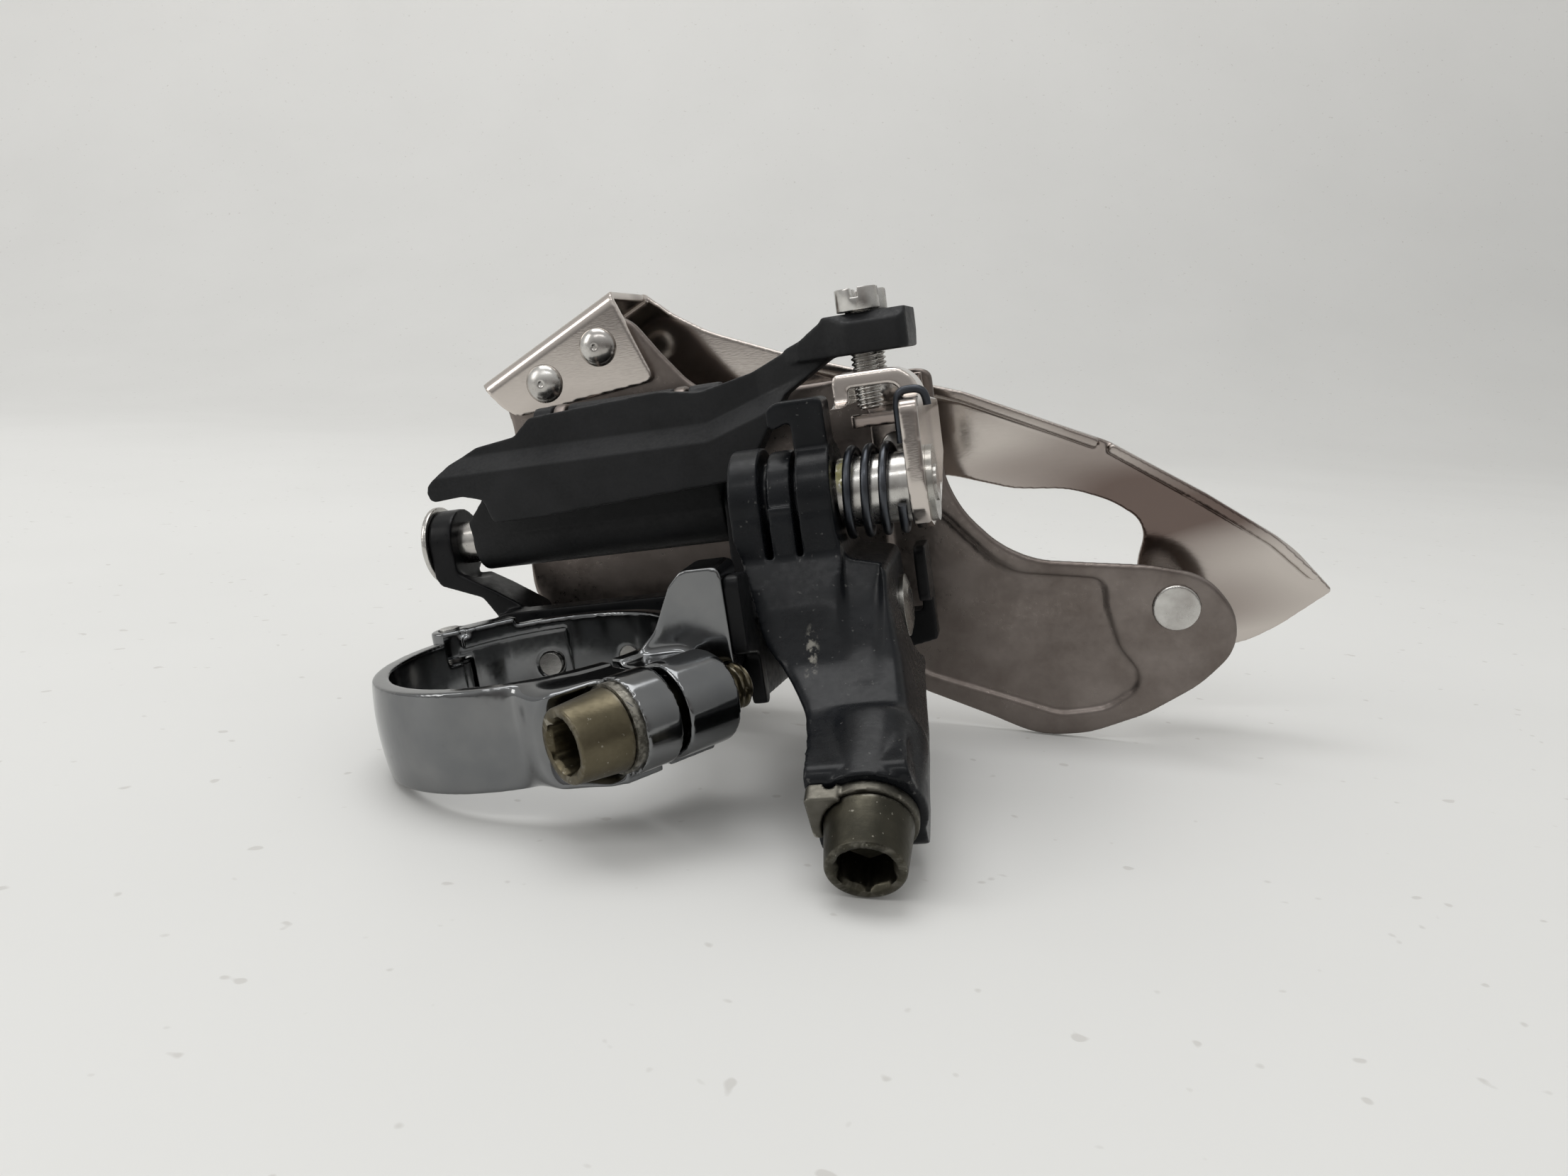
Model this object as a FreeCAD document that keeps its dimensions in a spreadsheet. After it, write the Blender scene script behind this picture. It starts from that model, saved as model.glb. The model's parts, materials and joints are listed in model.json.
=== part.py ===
"""Front derailleur with a band clamp, a cable arm and a four-pivot swing linkage.

Frame: the origin is on the clamp's axis at half its height, +Z runs up the seat tube,
+X to the rear of the bicycle and +Y outboard, to the chainrings.
"""
import FreeCAD, Part
import math
import os
import Sketcher
from FreeCAD import Matrix, Placement, Rotation, Vector

doc = FreeCAD.newDocument("front_derailleur")
sheet = doc.addObject("Spreadsheet::Sheet", "dims")

SIZES = {
    # band clamp
    "clamp_bore_radius": 15.9,
    "clamp_wall": 2.3,
    "clamp_height": 10.9,
    "clamp_crown": 0.45,
    "clamp_middle": 0.55,
    "clamp_bolt_height": 1.3,
    "parting_angle": -38.0,
    "parting_gap": 0.9,
    "hinge_angle": 146.0,
    "hinge_offset": 3.2,
    "hinge_barrel_radius": 2.3,
    "hinge_pin_radius": 1.2,
    "ear_radius": 5.0,
    "ear_length": 6.2,
    "bolt_offset": 8.2,
    "pad_width": 17.0,
    "pad_depth": 3.2,
    "tower_top": 14.0,
    "tower_width": 6.0,
    "tower_depth": 6.4,
    # the two cone-head bolts
    "bolt_radius": 2.5,
    "head_radius": 4.25,
    "face_radius": 3.75,
    "head_length": 5.5,
    "socket_flats": 5.0,
    "socket_depth": 4.2,
    "clamp_bolt_length": 16.1,
    "cable_bolt_length": 8.6,
    "washer_thickness": 1.0,
    # linkage pivots: the fixed pivot of the arm, the link vector and the fixed pivot behind
    "arm_pivot_y": 10.5,
    "arm_pivot_z": 4.2,
    "link_lean": 3.0,
    "link_rise": 14.0,
    "rear_pivot_y": 26.5,
    "rear_pivot_z": 15.7,
    "pivot_pin_radius": 2.0,
    "pin_running_gap": 0.05,
    "side_gap": 0.3,
    # cable arm
    "knuckle_left": 24.9,
    "knuckle_width": 11.4,
    "knuckle_radius": 6.2,
    "arm_right": 41.4,
    "boss_left": 34.0,
    "boss_right": 45.0,
    "boss_radius": 5.5,
    "boss_y": -19.2,
    "boss_z": -9.0,
    "boss_tilt": 25.0,
    "arm_wall": 2.6,
    "flange_wall": 1.6,
    "eye_radius": 4.7,
    # fixed base
    "base_wall": 3.4,
    "base_top": 6.6,
    "base_bottom": -5.0,
    "lug_radius": 4.4,
    "rear_ear_left": -22.7,
    "rear_ear_width": 3.3,
    "rear_ear_radius": 4.7,
    "dome_radius": 5.3,
    "dome_height": 2.0,
    # outer link
    "link_left": -16.5,
    "link_right": 18.6,
    "link_barrel_radius": 4.0,
    "fairing_front": 18.0,
    "fairing_wall": 4.2,
    "screw_block_left": 35.6,
    "screw_block_right": 45.2,
    "screw_block_front": 15.0,
    "screw_block_rear": 28.4,
    "screw_block_bottom": 33.1,
    "screw_block_top": 37.8,
    "limit_screw_radius": 1.6,
    "limit_head_radius": 2.55,
    "limit_head_height": 2.6,
    "low_screw_y": 18.2,
    "low_screw_x": 39.6,
    "low_screw_tip": 26.6,
    "high_screw_y": 26.2,
    "high_screw_x": 39.6,
    "high_screw_tip": 29.7,
    # cage
    "inner_plate_y": 32.0,
    "cage_gap": 12.8,
    "inner_plate_wall": 1.2,
    "outer_plate_wall": 1.2,
    "cage_ear_left": 44.4,
    "cage_ear_wall": 2.0,
    "sleeve_radius": 3.9,
    "spring_wire_radius": 0.5,
    "spring_turns": 3.2,
    "hanger_wall": 1.6,
    "hanger_radius": 2.7,
    "hanger_barrel_radius": 2.6,
    "hanger_pin_radius": 1.5,
    "front_hanger_left": -1.6,
    "rear_hanger_left": 14.6,
    "tail_rivet_x": 73.4,
    "tail_rivet_z": -4.4,
    "tail_rivet_radius": 3.1,
    "front_rivet_radius": 2.35,
}

for row, (alias, value) in enumerate(SIZES.items(), start=1):
    sheet.set("A%d" % row, alias)
    sheet.set("B%d" % row, str(value))
    sheet.setAlias("B%d" % row, alias)
doc.recompute()


def size(alias):
    """A driving dimension, read from the spreadsheet."""
    return float(sheet.get(alias))


parts = []

# ---------------------------------------------------------------- shape helpers


def corner_points(points, radius):
    """Edges of a closed outline whose corners are rounded, limited by the sides beside them."""
    edges = []
    count = len(points)
    ends = []
    for i, here in enumerate(points):
        before = points[i - 1]
        after = points[(i + 1) % count]
        back = before.sub(here)
        ahead = after.sub(here)
        turn = back.getAngle(ahead)
        want = radius[i] if isinstance(radius, (list, tuple)) else radius
        room = 0.48 * min(back.Length, ahead.Length)
        cut = min(want / math.tan(turn / 2), room) if turn < math.pi - 0.01 and want > 0 else 0.0
        back.normalize()
        ahead.normalize()
        if cut < 0.01:
            ends.append((here, here, None))
            continue
        arc_radius = cut * math.tan(turn / 2)
        middle = back.add(ahead)
        middle.normalize()
        reach = arc_radius / math.sin(turn / 2) - arc_radius
        ends.append((here.add(back.multiply(cut)), here.add(ahead.multiply(cut)),
                     here.add(middle.multiply(reach))))
    for i, (start, end, through) in enumerate(ends):
        if through is not None:
            edges.append(Part.Arc(start, through, end).toShape())
        next_start = ends[(i + 1) % count][0]
        if end.distanceToPoint(next_start) > 1e-6:
            edges.append(Part.LineSegment(end, next_start).toShape())
    return edges


def prism(points, along, low, high, radius=0.0):
    """A closed outline with rounded corners, extruded along one axis from low to high."""
    place = {"x": lambda p: Vector(low, p[0], p[1]),
             "y": lambda p: Vector(p[0], low, p[1]),
             "z": lambda p: Vector(p[0], p[1], low)}[along]
    way = {"x": Vector(1, 0, 0), "y": Vector(0, 1, 0), "z": Vector(0, 0, 1)}[along]
    wire = Part.Wire(Part.__sortEdges__(corner_points([place(p) for p in points], radius)))
    return Part.Face(wire).extrude(way * (high - low))


def rod(base, axis, radius, length):
    return Part.makeCylinder(radius, length, base, axis)


def rod_x(y, z, radius, low, high):
    return rod(Vector(low, y, z), Vector(1, 0, 0), radius, high - low)


def rod_y(x, z, radius, low, high):
    return rod(Vector(x, low, z), Vector(0, 1, 0), radius, high - low)


def box(x0, x1, y0, y1, z0, z1):
    return Part.makeBox(x1 - x0, y1 - y0, z1 - z0, Vector(x0, y0, z0))


def join(first, *others):
    return first.fuse(list(others)).removeSplitter()


def polar(radius, angle, height=0.0):
    return Vector(radius * math.cos(math.radians(angle)), radius * math.sin(math.radians(angle)),
                  height)


def keep(shape):
    """The single solid of a boolean result."""
    return shape.Solids[0] if len(shape.Solids) == 1 else shape


def feature(label, shape, placement=None):
    """A sub-part whose form is set by code from the sheet's values."""
    obj = doc.addObject("Part::Feature", label)
    obj.Label = label
    obj.Shape = keep(shape)
    obj.Placement = placement or Placement()
    parts.append(obj)
    return obj


def origin_plane(body, role):
    return [item for item in body.Origin.OriginFeatures if item.Role == role][0]


def turned(label, profile, base, axis, socket=False):
    """A PartDesign body revolved about its own Z from (radius, height) expressions.

    A value of "0" puts the corner on the axis or on the base plane.
    """
    body = doc.addObject("PartDesign::Body", label)
    body.Label = label
    sketch = body.newObject("Sketcher::SketchObject", label + "_profile")
    sketch.AttachmentSupport = [(origin_plane(body, "XZ_Plane"), "")]
    sketch.MapMode = "FlatFace"
    corners = [(number(r), number(h)) for r, h in profile]
    count = len(corners)
    for i, (r, h) in enumerate(corners):
        r2, h2 = corners[(i + 1) % count]
        sketch.addGeometry(Part.LineSegment(Vector(r, h, 0), Vector(r2, h2, 0)), False)
    for i in range(count):
        sketch.addConstraint(Sketcher.Constraint("Coincident", i, 2, (i + 1) % count, 1))
    for i, (r, h) in enumerate(profile):
        bind(sketch, "X", i, r, -2)
        bind(sketch, "Y", i, h, -1)
    turn = body.newObject("PartDesign::Revolution", label + "_turn")
    turn.Profile = sketch
    turn.ReferenceAxis = (sketch, ["V_Axis"])
    turn.Angle = 360.0
    if socket:
        doc.recompute()
        cut_socket(body, label, number(profile[-1][1]))
    body.Placement = Placement(base, Rotation(Vector(0, 0, 1), axis))
    parts.append(body)
    return body


def number(expression):
    """The value of an expression in the sheet's aliases."""
    values = {alias: size(alias) for alias in SIZES if alias in expression}
    total = 0.0
    for term in expression.replace("-", "+-").split("+"):
        term = term.strip()
        if not term:
            continue
        sign = -1.0 if term.startswith("-") else 1.0
        term = term.lstrip("-").strip()
        product = 1.0
        for factor in term.split("*"):
            factor = factor.strip()
            product *= values[factor] if factor in values else float(factor)
        total += sign * product
    return total


def bind(sketch, letter, corner, expression, axis):
    """Hold one coordinate of a sketch corner to an expression in the sheet's aliases."""
    if expression == "0":
        sketch.addConstraint(Sketcher.Constraint("PointOnObject", corner, 1, axis))
        return
    index = sketch.addConstraint(
        Sketcher.Constraint("Distance" + letter, -1, 1, corner, 1, number(expression)))
    bound = expression
    for alias in sorted(SIZES, key=len, reverse=True):
        bound = bound.replace(alias, "<" + str(list(SIZES).index(alias)) + ">")
    for i, alias in enumerate(SIZES):
        bound = bound.replace("<%d>" % i, "dims." + alias)
    sketch.setExpression("Constraints[%d]" % index, bound)


def cut_socket(body, label, top):
    """A hexagon socket sunk into the end face of a turned body."""
    sketch = body.newObject("Sketcher::SketchObject", label + "_hexagon")
    sketch.AttachmentSupport = [(origin_plane(body, "XY_Plane"), "")]
    sketch.MapMode = "FlatFace"
    sketch.AttachmentOffset = Placement(Vector(0, 0, top), Rotation())
    reach = size("socket_flats") / math.sqrt(3)
    tips = [polar(reach, 60 * i) for i in range(6)]
    for i in range(6):
        sketch.addGeometry(Part.LineSegment(tips[i], tips[(i + 1) % 6]), False)
    for i in range(6):
        sketch.addConstraint(Sketcher.Constraint("Coincident", i, 2, (i + 1) % 6, 1))
    doc.recompute()
    before = body.Shape.Volume
    pocket = body.newObject("PartDesign::Pocket", label + "_socket")
    pocket.Profile = sketch
    pocket.setExpression("Length", "dims.socket_depth")
    doc.recompute()
    if body.Shape.Volume > before - 1.0:
        pocket.Reversed = True
        doc.recompute()
    assert body.Shape.Volume < before - 1.0, label


# ---------------------------------------------------------------- shared places

bore = size("clamp_bore_radius")
band_outer = bore + size("clamp_wall")
half_height = size("clamp_height") / 2
parting = size("parting_angle")
ear_out = Vector(math.cos(math.radians(parting)), math.sin(math.radians(parting)), 0)
ear_way = Vector(-ear_out.y, ear_out.x, 0)
bolt_foot = ear_out * (bore + size("bolt_offset")) + Vector(0, 0, size("clamp_bolt_height"))
middle = size("clamp_middle")
clamp_low = middle - half_height
clamp_top = middle + half_height
hinge_radius = bore + size("hinge_offset")
hinge_place = polar(hinge_radius, size("hinge_angle"))

arm_pivot = (size("arm_pivot_y"), size("arm_pivot_z"))
rear_pivot = (size("rear_pivot_y"), size("rear_pivot_z"))
cage_pivot = (arm_pivot[0] - size("link_lean"), arm_pivot[1] + size("link_rise"))
hanger_pivot = (rear_pivot[0] - size("link_lean"), rear_pivot[1] + size("link_rise"))

pin = size("pivot_pin_radius")
pin_hole = pin + size("pin_running_gap")
gap = size("side_gap")
tilt = math.radians(size("boss_tilt"))
boss_way = Vector(0, -math.cos(tilt), -math.sin(tilt))
boss_middle = (size("boss_left") + size("boss_right")) / 2
boss_face = Vector(boss_middle, size("boss_y"), size("boss_z"))

inner_front = size("inner_plate_y")
inner_back = inner_front + size("inner_plate_wall")
outer_front = inner_back + size("cage_gap")
outer_back = outer_front + size("outer_plate_wall")
pad_face = band_outer + size("clamp_crown") + 0.3
ear_left = size("cage_ear_left")
ear_right = ear_left + size("cage_ear_wall")
knuckle_right = size("knuckle_left") + size("knuckle_width")

# ---------------------------------------------------------------- clamp


def band_arc(start, end):
    """A stretch of the crowned band between two angles in degrees."""
    crown = size("clamp_crown")
    edge = band_outer - crown
    corners = [Vector(bore, 0, clamp_low), Vector(edge, 0, clamp_low),
               Vector(edge, 0, clamp_top), Vector(bore, 0, clamp_top)]
    outside = Part.Arc(corners[1], Vector(band_outer, 0, middle), corners[2]).toShape()
    sides = [Part.LineSegment(corners[0], corners[1]).toShape(), outside,
             Part.LineSegment(corners[2], corners[3]).toShape(),
             Part.LineSegment(corners[3], corners[0]).toShape()]
    arc = Part.Face(Part.Wire(sides)).revolve(Vector(), Vector(0, 0, 1), end - start)
    arc.rotate(Vector(), Vector(0, 0, 1), start)
    return arc


def ear_block(low, high, trim):
    """The straight root that ties an ear to the band, between two places along the bolt."""
    block = box(-1.2, size("bolt_offset"), low, high, clamp_low + trim, clamp_top - trim)
    block.Placement = Placement(ear_out * bore, Rotation(parting, 0, 0))
    return block


def clamp_body():
    half_gap = size("parting_gap") / 2
    hinge = size("hinge_angle")
    ring = band_arc(parting, hinge)
    lobe_radius = size("hinge_barrel_radius")
    lip_top = clamp_top + 0.9
    lobe = rod(hinge_place + Vector(0, 0, clamp_low), Vector(0, 0, 1), lobe_radius, lip_top - clamp_low)
    lip = prism([polar(bore + 0.1, hinge - 26), polar(band_outer + 0.8, hinge - 25),
                 polar(band_outer + 1.5, hinge - 14), polar(band_outer + 1.4, hinge - 6),
                 polar(bore + 0.1, hinge - 1)], "z", clamp_low, lip_top, 0.8)
    start = bolt_foot + ear_way * half_gap
    ear = rod(start, ear_way, size("ear_radius"), size("ear_length"))
    root = ear_block(half_gap, size("ear_length"), 0.5)
    tower_right = 25.4
    tower_left = tower_right - size("tower_width")
    tower_back = -1.2
    front = tower_back - size("tower_depth")
    top = size("tower_top")
    tower = prism([(tower_left - 5.4, clamp_top - 2.6), (tower_left - 3.8, clamp_top + 0.3),
                   (tower_left - 2.2, clamp_top + 1.8), (tower_left - 0.8, clamp_top + 4.4),
                   (tower_left + 0.3, top - 1.4), (tower_left + 1.7, top), (tower_right, top),
                   (tower_right, 3.0), (tower_right - 1.6, -1.0), (tower_left, -3.0)],
                  "y", front, tower_back, [0, 2, 2, 4, 1.2, 1.2, 0.9, 1.5, 2, 0])
    tower_bore = Part.makeCylinder(bore + 0.3, 40, Vector(0, 0, -20))
    pad = box(-size("pad_width") / 2, size("pad_width") / 2, bore - 1.0, pad_face,
              clamp_low + 1.0, clamp_top - 1.0)
    shape = join(ring, lobe, lip, ear, root, tower.cut(tower_bore), pad)
    shape = shape.cut(Part.makeCylinder(bore, 60, Vector(0, 0, -30)))
    slot = rod(hinge_place + Vector(0, 0, clamp_low + 2.6), Vector(0, 0, 1),
               lobe_radius + gap, 2 * half_height - 5.2)
    recess = box(-14.0, -2.6, 6.0, bore + 0.9, clamp_low - 1, clamp_top - 1.4)
    recess = recess.common(Part.makeCylinder(bore + 0.9, 60, Vector(0, 0, -30)))
    pin_bore = rod(hinge_place - Vector(0, 0, 20), Vector(0, 0, 1), size("hinge_pin_radius"), 40)
    bolt_bore = rod(bolt_foot - ear_way * 3, ear_way, size("bolt_radius") + size("pin_running_gap"), 26)
    parting_cut = box(-8, 20, -30, 0, -20, 20)
    parting_cut.Placement = Placement(ear_out * bore + ear_way * half_gap, Rotation(parting, 0, 0))
    rivet_holes = [rod_y(x, 0, 1.5, bore - 2, pad_face + 1) for x in (-5.5, 5.5)]
    return shape.cut([slot, recess, pin_bore, bolt_bore, parting_cut] + rivet_holes)


def clamp_band():
    half_gap = size("parting_gap") / 2
    gap_angle = math.degrees(half_gap / bore)
    hinge = size("hinge_angle")
    ring = band_arc(hinge + 9.0, 360 + parting - gap_angle)
    barrel = rod(hinge_place + Vector(0, 0, clamp_low + 2.9), Vector(0, 0, 1),
                 size("hinge_barrel_radius"), 2 * half_height - 5.8)
    knuckle = prism([polar(bore, hinge + 2), polar(hinge_radius + 2.0, hinge + 1),
                     polar(band_outer, hinge + 14), polar(bore, hinge + 14)],
                    "z", clamp_low + 2.9, clamp_top - 2.9)
    seat = head_seat - size("washer_thickness")
    reach = seat + size("head_length") + 0.6
    start = bolt_foot - ear_way * half_gap
    ear = rod(start, ear_way * -1, size("ear_radius"), seat - half_gap + 1.2)
    root = ear_block(-reach, -half_gap, 0.25)
    outer = Part.makeCylinder(bore + size("bolt_offset") + 1.2, 60, Vector(0, 0, -30))
    shape = join(ring, barrel, knuckle, ear, root.common(outer))
    shape = shape.cut(Part.makeCylinder(bore, 60, Vector(0, 0, -30)))
    pocket = rod(bolt_foot - ear_way * seat, ear_way * -1, size("head_radius") + 0.7, 20)
    mouth = Part.makeCone(size("head_radius") + 0.7, size("head_radius") + 5.2, 9.0,
                          bolt_foot - ear_way * (seat + 1.6) + ear_out * 1.2 - Vector(0, 0, 0.9),
                          ear_way * -1)
    bolt_hole = rod(bolt_foot + ear_way, ear_way * -1, size("bolt_radius") + 0.8, 12)
    pin_bore = rod(hinge_place - Vector(0, 0, 20), Vector(0, 0, 1),
                   size("hinge_pin_radius") + size("pin_running_gap"), 40)
    room_radius = size("hinge_barrel_radius") + gap
    rooms = [rod(hinge_place + Vector(0, 0, low), Vector(0, 0, 1), room_radius, 3.9)
             for low in (clamp_low - 1, clamp_top - 2.9)]
    return shape.cut([pocket, mouth, bolt_hole, pin_bore] + rooms)


head_seat = size("clamp_bolt_length") - 10.6
feature("clamp_body", clamp_body())
feature("clamp_band", clamp_band())
turned("clamp_hinge_pin",
       [("0", "0"), ("hinge_pin_radius", "0"), ("hinge_pin_radius", "clamp_height + 1.3"),
        ("0", "clamp_height + 1.3")],
       hinge_place + Vector(0, 0, clamp_low - 0.2), Vector(0, 0, 1))

turned("clamp_bolt",
       [("0", "0"), ("bolt_radius - 0.5", "0"), ("bolt_radius", "0.5"),
        ("bolt_radius", "clamp_bolt_length"), ("head_radius", "clamp_bolt_length"),
        ("head_radius", "clamp_bolt_length + 0.6"), ("face_radius", "clamp_bolt_length + head_length"),
        ("0", "clamp_bolt_length + head_length")],
       bolt_foot + ear_way * (size("clamp_bolt_length") - head_seat), ear_way * -1, socket=True)
turned("clamp_washer",
       [("bolt_radius", "0"), ("head_radius + 0.3", "0"), ("head_radius + 0.3", "washer_thickness"),
        ("bolt_radius", "washer_thickness")],
       bolt_foot - ear_way * (head_seat - size("washer_thickness")), ear_way * -1)

# ---------------------------------------------------------------- fixed base


def link_base():
    wall_back = pad_face + size("base_wall")
    top = size("base_top")
    low = size("base_bottom")
    lug_left = 30.2
    lug_right = size("arm_right") - size("flange_wall") - gap
    by, bz = arm_pivot
    dy, dz = rear_pivot
    lug_top = bz + 0.6
    wall = prism([(-15.5, low + 5.5), (-11, low), (lug_right, low + 1.5), (lug_right, lug_top),
                  (26.5, lug_top), (22.5, top), (-13.0, top)], "y", pad_face, wall_back, 1.2)
    lug = join(rod_x(by, bz, size("lug_radius"), lug_left, lug_right),
               prism([(by, bz - size("lug_radius")), (pad_face + 0.5, low + 1.6),
                      (pad_face + 0.5, lug_top), (by, bz + size("lug_radius"))], "x", lug_left,
                      lug_right))
    strip_left = 25.4
    web_right = 26.3
    strip = prism([(-7.2, 4.6), (-2.6, 3.4), (-2.6, -2.4), (-0.8, -2.4), (-0.8, 5.6), (-2.4, 7.0),
                   (-2.4, 12.4), (-7.2, 12.9)], "x", strip_left, strip_left + 1.6,
                   [0.8, 1, 0.5, 0.5, 0.5, 1, 0.5, 1])
    web = prism([(-2.0, -2.2), (pad_face + 1, low + 0.5), (pad_face + 1, top - 1.2), (-2.0, top)],
                "x", strip_left, web_right)
    side = prism([(-0.4, -1.8), (pad_face + 1, low + 0.5), (pad_face + 1, top - 1.2), (-0.4, top)],
                 "x", 22.4, web_right)
    ear_x = size("rear_ear_left")
    ear_end = ear_x + size("rear_ear_width")
    ring = rod_x(dy, dz, size("rear_ear_radius"), ear_x, ear_end)
    arm = prism([(ear_x, dz + 1.5), (ear_end, dz + 1.0), (ear_end, dz - 3.6), (-14.6, dz - 6.4),
                 (-9.6, top - 0.6),
                 (-9.6, low + 2.0), (-14.0, low + 5.0), (-14.6, 5.6), (-16.4, dz - 7.2),
                 (ear_x + 0.6, dz - 5.0),
                 (ear_x, dz - 3.8)],
                "y", wall_back - 0.4, dy + 2.2, 1.2)
    brace = prism([(pad_face + 0.6, low + 3.0), (dy + 2.2, low + 4.0), (dy + 2.2, top - 1.0),
                   (pad_face + 0.6, top - 0.6)], "x", -14.4, -9.7)
    right_left = size("link_right") + gap
    right_ear = join(rod_x(dy, dz, size("rear_ear_radius"), right_left, right_left + 3.6),
                     prism([(dy - 4.6, dz), (dy - 6.6, top - 3), (wall_back - 1.0, low + 4),
                            (wall_back + 3.6, low + 6),
                            (dy + 4.6, dz)], "x", right_left, right_left + 3.6))
    tab_left = size("arm_right") + 1.2
    tab_right = tab_left + 1.4
    tab = prism([(pad_face - 3.0, 3.0), (wall_back, 3.0), (wall_back, 9.8), (pad_face - 3.0, 9.8)],
                "x", tab_left, tab_right, 1.2)
    strap = prism([(lug_right - 1, low + 1.5), (tab_right, low + 2.6), (tab_right, 6.0),
                   (tab_left, 6.0),
                   (tab_left, 1.4), (lug_right - 1, 1.4)], "y", pad_face + 0.4, wall_back, 0.4)
    shape = join(wall, lug, strip, web, side, ring, arm, brace, right_ear, tab, strap)
    room = rod_x(dy, dz, size("link_barrel_radius") + 1.0, ear_end, right_left)
    holes = [rod_x(by, bz, pin, lug_left - 1, lug_right + 1),
             rod_x(dy, dz, pin, ear_x - 1, right_left + 6)]
    holes += [rod_y(x, 0, 1.5, pad_face - 1, wall_back + 1) for x in (-5.5, 5.5)]
    return shape.cut([room] + holes)


feature("link_base", link_base())

base_rivets = []
for rivet_x in (-5.5, 5.5):
    start = math.sqrt(bore ** 2 - (abs(rivet_x) + 1.5) ** 2) + 0.2
    stem = rod_y(rivet_x, 0, 1.5, start + 1.1, pad_face + size("base_wall"))
    tail = Part.makeCone(2.3, 1.5, 0.8, Vector(rivet_x, pad_face + size("base_wall"), 0),
                         Vector(0, 1, 0))
    base_rivets.append(join(stem, tail))
feature("base_rivets", Part.makeCompound(base_rivets))

# ---------------------------------------------------------------- cable arm (inner link)


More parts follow.
